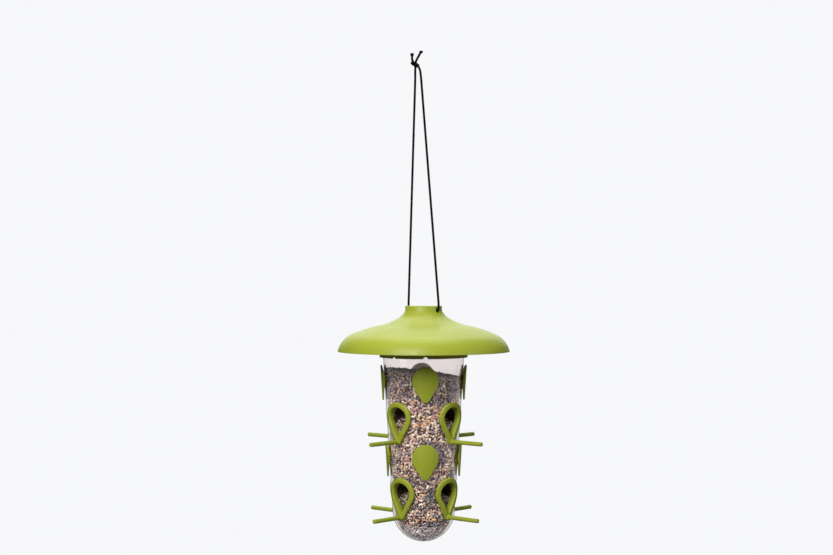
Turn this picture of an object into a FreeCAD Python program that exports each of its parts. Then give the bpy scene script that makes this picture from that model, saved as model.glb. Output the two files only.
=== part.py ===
import FreeCAD, Part
import math
import os

import Sketcher

# Hanging tube seed feeder. A wide roof hangs on a cord that crosses its neck. A ring held in the
# roof by a bayonet carries a clear tapered tube, which has eight seed ports with perches and
# eight leaf plates. Millimetres, +Z up, origin at the centre of the cord's loop round the branch.
# Distances named "drop" or "depth" are measured downwards, azimuths run from the front (-Y)
# towards +X, and "front" in the comments below is the -Y side of each piece's own frame.

DRIVING_SIZES = [
    # hanging
    ("hang_drop", 234.0),            # loop centre down to the top of the neck
    ("axis_shift", 7.2),             # the feeder's axis stands this far towards +X of the loop
    ("cord_diameter", 2.3),
    ("cord_hole_drop", 4.8),         # top of the neck down to the cord's crossing
    ("cord_hole_clearance", 1.0),
    ("cord_stand_off", 2.3),         # cord's centre outside the neck wall
    ("cord_fold_inset", 0.6),        # where the cord starts to turn, inside the neck wall's face
    ("cord_fold_rise", 1.8),         # how far it has risen outside the wall
    ("loop_knot_length", 11.0),
    ("loop_knot_width", 5.4),
    ("end_knot_radius", 2.2),
    # roof
    ("neck_radius", 18.4),
    ("neck_height", 4.4),
    ("roof_wall", 2.0),
    ("flare_reach", 7.1),            # beyond the neck
    ("flare_drop", 12.3),
    ("flare_curve", 17.7),
    ("saddle_reach", 2.9),           # beyond the skirt's inside
    ("saddle_drop", 20.2),
    ("saddle_curve", 67.5),
    ("shoulder_set_back", 14.3),     # inside the brim
    ("shoulder_rise", 17.3),         # above the brim
    ("shoulder_curve", 142.0),
    ("brim_radius", 86.0),
    ("brim_drop", 45.4),
    ("brim_curve", 24.6),
    ("flare_slope", 31.0),
    ("saddle_slope", 12.0),
    ("shoulder_slope", 23.0),
    # bayonet
    ("ring_bottom_drop", 51.1),
    ("ring_height", 11.0),
    ("ring_wall", 2.3),
    ("ring_clearance", 0.4),
    ("skirt_wall", 3.2),
    ("skirt_height", 17.0),          # below the roof's moulded seat for it
    ("ring_exposed", 4.0),           # part of the ring below the roof's skirt
    ("lug_reach", 1.7),
    ("lug_height", 3.0),
    ("lug_width_angle", 12.0),
    ("lug_end_angle", 1.0),          # free turn past each end of a lug
    ("lug_clearance", 0.5),          # between a lug's tip and its channel
    ("ledge_height", 2.2),
    ("twist_angle", 25.0),
    ("notch_width", 4.6),
    ("notch_height", 2.2),
    # tube
    ("mouth_radius", 41.3),
    ("mouth_above_ring", 1.0),
    ("taper_angle", 3.55),
    ("dome_depth", 165.0),           # mouth down to the centre of the round bottom
    ("tube_wall", 1.7),
    ("drain_circle", 13.0),
    ("drain_radius", 1.5),
    # seed ports
    ("upper_port_depth", 70.2),
    ("lower_port_rise", 20.0),       # above the centre of the round bottom
    ("rim_radius", 15.0),
    ("rim_tip_radius", 3.0),
    ("perch_depth", 24.0),           # centre of the port's round top down to the perch
    ("rim_stand", 3.0),
    ("rim_gap", 0.15),
    ("passage_radius", 10.2),
    ("passage_tip_radius", 1.2),
    ("passage_tip_depth", 18.0),
    ("sleeve_wall", 1.6),
    ("sleeve_clearance", 0.2),
    ("sleeve_reach", 4.6),
    ("boss_stand", 4.4),
    # perches
    ("perch_radius", 2.1),
    ("perch_clearance", 0.1),
    ("perch_length", 41.0),          # beyond the tube's surface
    ("perch_tail", 6.0),
    ("perch_edge", 0.6),
    # leaf plates
    ("upper_leaf_rise", 36.8),       # above its row of ports
    ("lower_leaf_rise", 35.3),
    ("leaf_radius", 13.75),
    ("leaf_tip_radius", 4.5),
    ("leaf_tip_depth", 16.8),
    ("leaf_stand", 1.6),
    ("leaf_wall", 1.6),
    ("leaf_boss_radius", 4.0),
    ("leaf_peg_radius", 2.2),
    ("leaf_peg_clearance", 0.15),
    ("leaf_peg_tail", 2.0),
]

# Points of each cord's route, from the branch to the end of its tail, after the points that lie
# inside the neck, in its hole and just outside it. Chosen by hand.
RIGHT_CORD_POINTS = [(5.4, -1.9, -4.5), (4.4, -2.6, 4.0), (0.2, -4.2, 8.3), (-2.6, -6.8, 9.6),
                     (-2.4, -6.5, 17.9)]
LEFT_CORD_POINTS = [(-5.4, 1.4, -4.5), (-4.8, 0.6, 3.6), (-2.2, -1.6, 8.2), (-0.6, -3.4, 11.0),
                    (2.1, 1.9, 20.8)]
LOOP_KNOT_CENTRE = (-0.9, -4.0, 8.0)
LOOP_KNOT_AZIMUTH = 19.0
LOOP_KNOT_PITCH = 28.0

TURNS = {"front": 0, "right": 90, "back": 180, "left": 270}
HALF_TURNS = {"front_right": 45, "back_right": 135, "back_left": 225, "front_left": 315}
FULL_TURN = 360.0
FREE_CUT = 200.0

doc = FreeCAD.newDocument("tube_feeder")
sheet = doc.addObject("Spreadsheet::Sheet", "Sizes")
for row, (alias, value) in enumerate(DRIVING_SIZES, start=1):
    sheet.set(f"A{row}", alias)
    sheet.set(f"B{row}", str(value))
    sheet.setAlias(f"B{row}", alias)
doc.recompute()


class Size:
    """A length or an angle as a number, with the spreadsheet expression that it comes from."""

    def __init__(self, text, number):
        self.text = text
        self.number = number

    def joined(self, sign, other, number):
        return Size(f"({self.text} {sign} {as_size(other).text})", number)

    def __add__(self, other):
        return self.joined("+", other, self.number + as_size(other).number)

    def __sub__(self, other):
        return self.joined("-", other, self.number - as_size(other).number)

    def __mul__(self, other):
        return self.joined("*", other, self.number * as_size(other).number)

    def __truediv__(self, other):
        return self.joined("/", other, self.number / as_size(other).number)

    def __neg__(self):
        return Size(f"(0 - {self.text})", -self.number)


def as_size(value):
    return value if isinstance(value, Size) else Size(repr(float(value)), float(value))


def size(alias):
    return Size(f"{sheet.Name}.{alias}", float(sheet.get(alias)))


def sin_of(angle):
    return Size(f"sin({angle.text} * 1 deg)", math.sin(math.radians(angle.number)))


def cos_of(angle):
    return Size(f"cos({angle.text} * 1 deg)", math.cos(math.radians(angle.number)))


def tan_of(angle):
    return Size(f"tan({angle.text} * 1 deg)", math.tan(math.radians(angle.number)))


def root_of(square):
    return Size(f"sqrt({square.text})", math.sqrt(square.number))


def bind(target, **values):
    """Sets properties of an object to sizes and ties them to the spreadsheet."""
    for name, value in values.items():
        setattr(target, name, as_size(value).number)
        target.setExpression(name, as_size(value).text)


def place(piece, x, z, azimuth=0.0):
    """Stands a piece on the feeder's axis and turns it to its azimuth."""
    turn = FreeCAD.Rotation(FreeCAD.Vector(0, 0, 1), azimuth)
    piece.Placement = FreeCAD.Placement(FreeCAD.Vector(x.number, 0, z.number), turn)
    piece.setExpression("Placement.Base.x", x.text)
    piece.setExpression("Placement.Base.z", z.text)


def origin_plane(body, role):
    return next(item for item in body.Origin.OriginFeatures if item.Role == role)


def new_body(label):
    body = doc.addObject("PartDesign::Body", label)
    body.Label = label
    return body


def new_sketch(body, name, role, turn=0.0):
    """A sketch on one of the body's own planes, turned about +Z by an angle in degrees."""
    sketch = body.newObject("Sketcher::SketchObject", name)
    sketch.AttachmentSupport = [(origin_plane(body, role), "")]
    sketch.MapMode = "FlatFace"
    upright = FreeCAD.Rotation(FreeCAD.Vector(0, 1, 0), turn)
    sketch.AttachmentOffset = FreeCAD.Placement(FreeCAD.Vector(), upright)
    return sketch


def hold_datum(sketch, constraint, value):
    """Adds a constraint whose datum follows the spreadsheet."""
    index = sketch.addConstraint(constraint)
    sketch.setExpression(f"Constraints[{index}]", value.text)


def hold_point(sketch, geometry, end, point):
    """Pins one end of a line or arc at its distances from the sketch's origin."""
    x, y = (as_size(value) for value in point)
    hold_datum(sketch, Sketcher.Constraint("DistanceX", -1, 1, geometry, end, x.number), x)
    hold_datum(sketch, Sketcher.Constraint("DistanceY", -1, 1, geometry, end, y.number), y)


def arc_between(start, end, radius, bulge):
    """The shorter arc between two points; bulge +1 or -1 says which side its middle stands."""
    half = (end - start) * 0.5
    middle = start + half
    rise = radius - math.sqrt(radius ** 2 - half.Length ** 2)
    side = FreeCAD.Vector(-half.y, half.x, 0).normalize() * bulge
    return Part.Arc(start, middle + side * rise, end)


def draw_outline(sketch, corners):
    """Draws a closed outline. Each corner is (x, y) and the edge that leaves it: None for a
    line, or (radius, bulge) for an arc."""
    points = [FreeCAD.Vector(as_size(x).number, as_size(y).number, 0) for x, y, edge in corners]
    count = len(corners)
    ends = []
    for index, (x, y, edge) in enumerate(corners):
        start, end = points[index], points[(index + 1) % count]
        if edge is None:
            sketch.addGeometry(Part.LineSegment(start, end), False)
            ends.append((1, 2))
        else:
            sketch.addGeometry(arc_between(start, end, edge[0].number, edge[1]), False)
            ends.append((2, 1) if edge[1] > 0 else (1, 2))
    for index, (x, y, edge) in enumerate(corners):
        following = (index + 1) % count
        sketch.addConstraint(Sketcher.Constraint("Coincident", index, ends[index][1],
                                                 following, ends[following][0]))
        hold_point(sketch, index, ends[index][0], (x, y))
        if edge is not None:
            hold_datum(sketch, Sketcher.Constraint("Radius", index, edge[0].number), edge[0])


def draw_circle(sketch, x, y, radius):
    index = sketch.addGeometry(Part.Circle(FreeCAD.Vector(as_size(x).number, as_size(y).number, 0),
                                           FreeCAD.Vector(0, 0, 1), radius.number), False)
    hold_point(sketch, index, 3, (x, y))
    hold_datum(sketch, Sketcher.Constraint("Radius", index, radius.number), radius)


def draw_teardrop(sketch, centre_height, top_radius, tip_radius, tip_depth):
    """A round top and a smaller round tip, whose centre is tip_depth under the top's, joined by
    the two lines that touch both. The top is drawn as two arcs that meet at its crown."""
    lean = (top_radius - tip_radius) / tip_depth
    rise = root_of(as_size(1.0) - lean * lean)
    top_y = centre_height - top_radius * lean
    tip_y = centre_height - tip_depth - tip_radius * lean
    draw_outline(sketch, [
        (-(top_radius * rise), top_y, None),
        (-(tip_radius * rise), tip_y, (tip_radius, -1)),
        (tip_radius * rise, tip_y, None),
        (top_radius * rise, top_y, (top_radius, -1)),
        (0.0, centre_height + top_radius, (top_radius, -1)),
    ])


def revolve(body, sketch, name="Revolution"):
    turned = body.newObject("PartDesign::Revolution", name)
    turned.Profile = sketch
    turned.ReferenceAxis = (sketch, ["V_Axis"])
    turned.Angle = FULL_TURN
    return turned


def cut(body, sketch, name, length, reverse=False, both_sides=False):
    """Cuts a sketch's outline into the body and checks that material went."""
    before = body.Shape.Volume
    pocket = body.newObject("PartDesign::Pocket", name)
    pocket.Profile = sketch
    bind(pocket, Length=length)
    pocket.Reversed = reverse
    pocket.Midplane = both_sides
    doc.recompute()
    if not body.Shape.Volume < before:
        raise RuntimeError(f"{body.Label}: {name} removed nothing")
    return pocket


def repeat_round(body, feature, count, name):
    """Repeats a feature evenly about the body's Z axis."""
    pattern = body.newObject("PartDesign::PolarPattern", name)
    pattern.Originals = [feature]
    pattern.Axis = (origin_plane(body, "Z_Axis"), [""])
    pattern.Angle = FULL_TURN
    pattern.Occurrences = count
    body.Tip = pattern
    doc.recompute()
    return pattern


def simple(kind, name, **values):
    item = doc.addObject(f"Part::{kind}", name)
    bind(item, **values)
    return item


def boolean(kind, name, base, tool):
    item = doc.addObject(f"Part::{kind}", name)
    item.Base = base
    item.Tool = tool
    return item


finished = []


def finish_piece(piece, label, x, z, azimuth=0.0):
    piece.Label = label
    place(piece, x, z, azimuth)
    finished.append(piece)


# Places that several pieces share.
axis_x = size("axis_shift")
neck_top_z = -size("hang_drop")
ring_bottom_z = neck_top_z - size("ring_bottom_drop")
mouth_z = ring_bottom_z + size("ring_height") + size("mouth_above_ring")
ring_inner_radius = size("mouth_radius") + size("ring_clearance")
ring_outer_radius = ring_inner_radius + size("ring_wall")
skirt_inner_radius = ring_outer_radius + size("ring_clearance")
skirt_outer_radius = skirt_inner_radius + size("skirt_wall")
skirt_bottom = size("ring_exposed") - size("ring_bottom_drop")
skirt_top = skirt_bottom + size("skirt_height")
port_depths = {
    "upper": size("upper_port_depth"),
    "lower": size("dome_depth") - size("lower_port_rise"),
}
leaf_depths = {row: depth - size(f"{row}_leaf_rise") for row, depth in port_depths.items()}
dome_radius = ((size("mouth_radius") - size("dome_depth") * tan_of(size("taper_angle")))
               * cos_of(size("taper_angle")))


def tube_radius(depth):
    """Outer radius of the tube's tapered wall at a depth below its mouth."""
    return size("mouth_radius") - depth * tan_of(size("taper_angle"))


def surface_radius(depth):
    """Outer radius of the tube at a depth, on the taper or on the round bottom."""
    if depth.number < size("dome_depth").number:
        return tube_radius(depth)
    below = depth - size("dome_depth")
    return root_of(dome_radius * dome_radius - below * below)


# ---------------------------------------------------------------- roof
def make_roof():
    """Moulded shell with a closed neck, and under it a round seat for the skirt."""
    body = new_body("roof")
    wall = size("roof_wall")
    flare = (size("neck_radius") + size("flare_reach"), -size("flare_drop"))
    saddle = (skirt_inner_radius + size("saddle_reach"), -size("saddle_drop"))
    shoulder = (size("brim_radius") - size("shoulder_set_back"),
                size("shoulder_rise") - size("brim_drop"))
    brim = (size("brim_radius"), -size("brim_drop"))

    def inside(point, slope):
        return (point[0] - wall * sin_of(slope), point[1] - wall * cos_of(slope))

    inner_flare = inside(flare, size("flare_slope"))
    inner_saddle = inside(saddle, size("saddle_slope"))
    inner_shoulder = inside(shoulder, size("shoulder_slope"))
    neck_bottom = -size("neck_height")
    shell = new_sketch(body, "RoofOutline", "XZ_Plane")
    draw_outline(shell, [
        (0.0, 0.0, None),
        (size("neck_radius"), 0.0, None),
        (size("neck_radius"), neck_bottom, (size("flare_curve"), -1)),
        (*flare, (size("saddle_curve"), -1)),
        (*saddle, (size("shoulder_curve"), 1)),
        (*shoulder, (size("brim_curve"), 1)),
        (*brim, None),
        (brim[0] - wall, brim[1], (size("brim_curve") - wall, -1)),
        (*inner_shoulder, (size("shoulder_curve") - wall, -1)),
        (*inner_saddle, (size("saddle_curve") + wall, 1)),
        (*inner_flare, (size("flare_curve") + wall, 1)),
        (size("neck_radius") - wall, neck_bottom - wall * 0.4, None),
        (size("neck_radius") - wall, -wall, None),
        (0.0, -wall, None),
    ])
    revolve(body, shell, "RoofShell")

    seat = new_sketch(body, "SeatOutline", "XZ_Plane")
    seat_top = -(size("saddle_drop") + wall * 0.3)
    draw_outline(seat, [
        (skirt_inner_radius, seat_top, None),
        (skirt_outer_radius, seat_top, None),
        (skirt_outer_radius, skirt_top, None),
        (skirt_inner_radius, skirt_top, None),
    ])
    revolve(body, seat, "Seat")
    doc.recompute()

    holes = new_sketch(body, "CordHoleOutline", "YZ_Plane")
    hole_radius = size("cord_diameter") / 2.0 + size("cord_hole_clearance")
    draw_circle(holes, 0.0, -size("cord_hole_drop"), hole_radius)
    cut(body, holes, "CordHoles", (size("neck_radius") + wall) * 2.0, both_sides=True)
    finish_piece(body, "roof", axis_x, neck_top_z)


# ---------------------------------------------------------------- skirt
def make_skirt():
    """Sleeve welded under the roof, with the bayonet's channel, ledge and gates inside it."""
    body = new_body("roof_skirt")
    outline = new_sketch(body, "SkirtOutline", "XZ_Plane")
    draw_outline(outline, [
        (skirt_inner_radius, skirt_top, None),
        (skirt_outer_radius, skirt_top, None),
        (skirt_outer_radius, skirt_bottom, None),
        (skirt_inner_radius, skirt_bottom, None),
    ])
    revolve(body, outline, "Sleeve")
    doc.recompute()

    # The channel runs from one lug width before the locked place to one past the open place.
    margin_angle = size("lug_width_angle") / 2.0 + size("lug_end_angle")
    gate_half_angle = size("lug_width_angle") / 2.0 + size("lug_end_angle") / 2.0
    inside = skirt_inner_radius - size("ring_clearance") * 2.0
    channel_bottom = skirt_bottom + size("ledge_height")
    channel_top = channel_bottom + size("lug_height") + size("ring_clearance") * 2.0
    channel_radius = ring_outer_radius + size("lug_reach") + size("lug_clearance")
    channel = new_sketch(body, "ChannelOutline", "XZ_Plane", margin_angle.number)
    draw_outline(channel, [
        (inside, channel_top, None),
        (channel_radius, channel_top, None),
        (channel_radius, channel_bottom, None),
        (inside, channel_bottom, None),
    ])
    before = body.Shape.Volume
    groove = body.newObject("PartDesign::Groove", "Channel")
    groove.Profile = channel
    groove.ReferenceAxis = (channel, ["V_Axis"])
    groove.Reversed = True
    bind(groove, Angle=size("twist_angle") + margin_angle * 2.0)
    doc.recompute()
    repeat_round(body, groove, 4, "Channels")
    channels_volume = body.Shape.Volume
    if not channels_volume < before:
        raise RuntimeError("roof_skirt: the bayonet channels removed nothing")

    # The gate is cut a little deeper than the channel, so that their round faces stay apart.
    gate_start = size("twist_angle") - gate_half_angle
    gate_radius = channel_radius + size("lug_clearance") / 2.0
    gate_top = channel_bottom + size("ring_clearance")
    gate_bottom = skirt_bottom - size("ring_clearance")
    gate = new_sketch(body, "GateOutline", "XZ_Plane", -gate_start.number)
    draw_outline(gate, [
        (inside, gate_top, None),
        (gate_radius, gate_top, None),
        (gate_radius, gate_bottom, None),
        (inside, gate_bottom, None),
    ])
    gate_groove = body.newObject("PartDesign::Groove", "Gate")
    gate_groove.Profile = gate
    gate_groove.ReferenceAxis = (gate, ["V_Axis"])
    gate_groove.Reversed = True
    bind(gate_groove, Angle=gate_half_angle * 2.0)
    doc.recompute()
    repeat_round(body, gate_groove, 4, "Gates")
    if not body.Shape.Volume < channels_volume:
        raise RuntimeError("roof_skirt: the bayonet gates removed nothing")
    finish_piece(body, "roof_skirt", axis_x, neck_top_z)


# ---------------------------------------------------------------- twist ring
def make_twist_ring():
    """Band round the tube's mouth, with four bayonet lugs and four small notches."""
    body = new_body("twist_ring")
    outline = new_sketch(body, "RingOutline", "XZ_Plane")
    draw_outline(outline, [
        (ring_inner_radius, 0.0, None),
        (ring_outer_radius, 0.0, None),
        (ring_outer_radius, size("ring_height"), None),
        (ring_inner_radius, size("ring_height"), None),
    ])
    revolve(body, outline, "Band")
    lug_bottom = size("ring_exposed") + size("ledge_height") + size("ring_clearance")
    lug = new_sketch(body, "LugOutline", "XZ_Plane", (size("lug_width_angle") / 2.0).number)
    lug_outer = ring_outer_radius + size("lug_reach")
    draw_outline(lug, [
        (ring_outer_radius - 1.0, lug_bottom, None),
        (lug_outer, lug_bottom, None),
        (lug_outer, lug_bottom + size("lug_height"), None),
        (ring_outer_radius - 1.0, lug_bottom + size("lug_height"), None),
    ])
    turned = revolve(body, lug, "Lug")
    turned.Reversed = True
    bind(turned, Angle=size("lug_width_angle"))
    doc.recompute()
    repeat_round(body, turned, 4, "Lugs")
    for name, turn in (("Front", 0.0), ("Corner", 45.0)):
        notch = new_sketch(body, f"{name}NotchOutline", "XZ_Plane", turn)
        half = size("notch_width") / 2.0
        draw_outline(notch, [
            (-half, -size("notch_height"), None),
            (half, -size("notch_height"), None),
            (half, size("notch_height") * 0.4, None),
            (0.0, size("notch_height"), None),
            (-half, size("notch_height") * 0.4, None),
        ])
        cut(body, notch, f"{name}Notches", ring_outer_radius * 2.0 + 4.0, both_sides=True)
    finish_piece(body, "twist_ring", axis_x, ring_bottom_z)


# ---------------------------------------------------------------- tube
def make_tube():
    """Clear tapered tube with a round bottom, holes for the ports and plates, and drain holes."""
    body = new_body("tube")
    wall = size("tube_wall")
    taper = size("taper_angle")
    slant_wall = wall / cos_of(taper)
    dome_centre = -size("dome_depth")
    inner_dome = dome_radius - wall

    def tangent_point(radius):
        return (radius * cos_of(taper), dome_centre - radius * sin_of(taper))

    outline = new_sketch(body, "TubeOutline", "XZ_Plane")
    outer_middle = (dome_radius * sin_of(as_size(45.0)), dome_centre - dome_radius * cos_of(as_size(45.0)))
    inner_middle = (inner_dome * sin_of(as_size(45.0)), dome_centre - inner_dome * cos_of(as_size(45.0)))
    draw_outline(outline, [
        (size("mouth_radius") - slant_wall, 0.0, None),
        (size("mouth_radius"), 0.0, None),
        (*tangent_point(dome_radius), (dome_radius, 1)),
        (*outer_middle, (dome_radius, 1)),
        (0.0, dome_centre - dome_radius, None),
        (0.0, dome_centre - inner_dome, (inner_dome, -1)),
        (*inner_middle, (inner_dome, -1)),
        (*tangent_point(inner_dome), None),
    ])
    revolve(body, outline, "Shell")
    doc.recompute()

    for name, depth in (("Upper", port_depths["upper"]), ("Lower", port_depths["lower"])):
        hole = new_sketch(body, f"{name}PortHole", "XZ_Plane")
        margin = size("sleeve_wall") + size("sleeve_clearance")
        draw_teardrop(hole, -depth, size("passage_radius") + margin,
                      size("passage_tip_radius") + margin, size("passage_tip_depth"))
        pocket = cut(body, hole, f"{name}PortHoles", size("mouth_radius") + wall)
        repeat_round(body, pocket, 4, f"{name}PortHoleRing")
        pin = new_sketch(body, f"{name}PerchHole", "XZ_Plane")
        draw_circle(pin, 0.0, -(depth + size("perch_depth")),
                    size("perch_radius") + size("perch_clearance") * 2.0)
        pocket = cut(body, pin, f"{name}PerchHoles", size("mouth_radius") + wall)
        repeat_round(body, pocket, 4, f"{name}PerchHoleRing")
    for name, depth in (("Upper", leaf_depths["upper"]), ("Lower", leaf_depths["lower"])):
        hole = new_sketch(body, f"{name}PegHole", "XZ_Plane", 45.0)
        draw_circle(hole, 0.0, -depth, size("leaf_peg_radius") + size("leaf_peg_clearance"))
        pocket = cut(body, hole, f"{name}PegHoles", size("mouth_radius") + wall)
        repeat_round(body, pocket, 4, f"{name}PegHoleRing")
    drain = new_sketch(body, "DrainHole", "XY_Plane")
    across = size("drain_circle") * cos_of(as_size(45.0))
    draw_circle(drain, across, -across, size("drain_radius"))
    pocket = cut(body, drain, "DrainHoles", size("dome_depth") + dome_radius)
    repeat_round(body, pocket, 4, "DrainHoleRing")
    finish_piece(body, "tube", axis_x, mouth_z)


def tube_solid(name, offset):
    """A solid with the tube's outer form, grown by an offset, for pieces that follow its wall."""
    taper = size("taper_angle")
    lift = size("mouth_radius") * 0.3
    grown = as_size(offset) / cos_of(taper)
    cone = simple("Cone", f"{name}Cone",
                  Radius1=size("mouth_radius") - size("dome_depth") * tan_of(taper) + grown,
                  Radius2=size("mouth_radius") + lift * tan_of(taper) + grown,
                  Height=size("dome_depth") + lift)
    cone.setExpression("Placement.Base.z", (-size("dome_depth")).text)
    ball = simple("Sphere", f"{name}Ball", Radius=dome_radius + offset)
    ball.setExpression("Placement.Base.z", (-size("dome_depth")).text)
    return boolean("Fuse", name, cone, ball)


def prism(name, inner_end, outline):
    """A bar along -Y whose section is drawn by outline(sketch), starting at y = -inner_end."""
    sketch = doc.addObject("Sketcher::SketchObject", f"{name}Outline")
    sketch.Placement = FreeCAD.Placement(FreeCAD.Vector(0, 0, 0),
                                         FreeCAD.Rotation(FreeCAD.Vector(1, 0, 0), 90))
    sketch.setExpression("Placement.Base.y", (-as_size(inner_end)).text)
    outline(sketch)
    bar = doc.addObject("Part::Extrusion", name)
    bar.Base = sketch
    bar.DirMode = "Custom"
    bar.Dir = FreeCAD.Vector(0, -1, 0)
    bar.Solid = True
    bind(bar, LengthFwd=FREE_CUT)
    return bar


def round_bar(name, radius, height, inner_end, length):
    """A round bar along -Y from y = -inner_end, at a height in the piece's frame."""
    bar = simple("Cylinder", name, Radius=radius, Height=length)
    bar.Placement = FreeCAD.Placement(FreeCAD.Vector(0, 0, 0),
                                      FreeCAD.Rotation(FreeCAD.Vector(1, 0, 0), 90))
    bar.setExpression("Placement.Base.y", (-as_size(inner_end)).text)
    bar.setExpression("Placement.Base.z", as_size(height).text)
    return bar


# ---------------------------------------------------------------- seed ports
def make_port(row, side, depth, inner_form, outer_form):
    """Teardrop rim that follows the tube, a short sleeve through the wall, and a boss for the
    perch."""
    name = f"port_{row}_{side}"
    wall = size("sleeve_wall")
    radius = tube_radius(depth)
    sleeve_end = radius - size("sleeve_reach")
    perch_height = -(depth + size("perch_depth"))
    perch_surface = surface_radius(depth + size("perch_depth"))

    def rim_outline(sketch):
        draw_teardrop(sketch, -depth, size("rim_radius"), size("rim_tip_radius"), size("perch_depth"))

    def sleeve_outline(sketch):
        draw_teardrop(sketch, -depth, size("passage_radius") + wall,
                      size("passage_tip_radius") + wall, size("passage_tip_depth"))

    def passage_outline(sketch):
        draw_teardrop(sketch, -depth, size("passage_radius"), size("passage_tip_radius"),
                      size("passage_tip_depth"))

    rim_bar = prism(f"{name}RimBar", sleeve_end, rim_outline)
    rim_full = boolean("Common", f"{name}RimFull", rim_bar, outer_form)
    rim = boolean("Cut", f"{name}Rim", rim_full, inner_form)
    sleeve_bar = prism(f"{name}SleeveBar", sleeve_end, sleeve_outline)
    sleeve = boolean("Common", f"{name}Sleeve", sleeve_bar, outer_form)
    boss = round_bar(f"{name}Boss", size("rim_tip_radius"), perch_height,
                     perch_surface + size("rim_gap") + 0.3, size("boss_stand"))
    shell = boolean("Fuse", f"{name}Shell", boolean("Fuse", f"{name}RimSleeve", rim, sleeve), boss)
    passage = prism(f"{name}Passage", sleeve_end - wall, passage_outline)
    bored = boolean("Cut", f"{name}Bored", shell, passage)
    pin = round_bar(f"{name}Pin", size("perch_radius") + size("perch_clearance"), perch_height,
                    perch_surface - size("perch_tail"), size("perch_tail") + size("boss_stand") * 3.0)
    port = boolean("Cut", name, bored, pin)
    finish_piece(port, name, axis_x, mouth_z, TURNS[side])


def make_perch(row, side, depth):
    """Round rod with a rounded end, plugged through its port's boss and the tube's wall."""
    name = f"perch_{row}_{side}"
    surface = surface_radius(depth)
    inner_end = surface - size("perch_tail")
    length = size("perch_tail") + size("perch_length")
    radius = size("perch_radius")
    edge = size("perch_edge")
    body = new_body(name)
    outline = new_sketch(body, f"{name}Outline", "XZ_Plane")
    draw_outline(outline, [
        (0.0, 0.0, None),
        (radius, 0.0, None),
        (radius, length - edge, (edge, -1)),
        (radius - edge, length, None),
        (0.0, length, None),
    ])
    revolve(body, outline, f"{name}Rod")
    azimuth = TURNS[side]
    lay_down = FreeCAD.Rotation(FreeCAD.Vector(1, 0, 0), 90)
    turn = FreeCAD.Rotation(FreeCAD.Vector(0, 0, 1), azimuth)
    reach_x = math.sin(math.radians(azimuth))
    reach_y = -math.cos(math.radians(azimuth))
    height = mouth_z - depth
    base = FreeCAD.Vector(axis_x.number + inner_end.number * reach_x, inner_end.number * reach_y,
                          height.number)
    body.Placement = FreeCAD.Placement(base, turn.multiply(lay_down))
    body.setExpression("Placement.Base.x", (axis_x + inner_end * round(reach_x, 6)).text)
    body.setExpression("Placement.Base.y", (inner_end * round(reach_y, 6)).text)
    body.setExpression("Placement.Base.z", height.text)
    body.Label = name
    finished.append(body)


# ---------------------------------------------------------------- leaf plates
def make_leaf(row, side, depth, inner_form, outer_form):
    """Leaf-shaped plate that follows the tube's wall at a small distance, held by a boss and a
    peg through the wall."""
    name = f"leaf_{row}_{side}"
    surface = tube_radius(depth)

    def outline(sketch):
        draw_teardrop(sketch, -depth, size("leaf_radius"), size("leaf_tip_radius"),
                      size("leaf_tip_depth"))

    bar = prism(f"{name}Bar", surface * 0.5, outline)
    plate = boolean("Cut", f"{name}Plate", boolean("Common", f"{name}Full", bar, outer_form),
                    inner_form)
    boss = round_bar(f"{name}Boss", size("leaf_boss_radius"), -depth, surface + 0.3,
                     size("leaf_stand") + size("leaf_wall") * 0.5)
    peg = round_bar(f"{name}Peg", size("leaf_peg_radius"), -depth,
                    surface - size("tube_wall") - size("leaf_peg_tail"),
                    size("tube_wall") + size("leaf_peg_tail") + size("leaf_stand"))
    leaf = boolean("Fuse", name, boolean("Fuse", f"{name}Boss2", plate, boss), peg)
    finish_piece(leaf, name, axis_x, mouth_z, HALF_TURNS[side])


# ---------------------------------------------------------------- cords
def cord_path(points):
    """Straight runs joined by tangent arcs, each as large as its runs allow. Gives the path and
    its arc radii."""
    edges = []
    radii = []
    start = points[0]
    for index in range(1, len(points) - 1):
        corner = points[index]
        back = points[index - 1] - corner
        ahead = points[index + 1] - corner
        half_turn = (math.pi - back.getAngle(ahead)) / 2.0
        radius = 0.45 * min(back.Length, ahead.Length) / math.tan(half_turn)
        radii.append(radius)
        set_back = radius * math.tan(half_turn)
        arc_start = corner + back.normalize() * set_back
        arc_end = corner + ahead.normalize() * set_back
        inward = (arc_start + arc_end) * 0.5 - corner
        reach = radius / math.cos(half_turn) - radius
        edges.append(Part.LineSegment(start, arc_start).toShape())
        edges.append(Part.Arc(arc_start, corner + inward.normalize() * reach, arc_end).toShape())
        start = arc_end
    edges.append(Part.LineSegment(start, points[-1]).toShape())
    return Part.Wire(edges), radii


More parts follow.
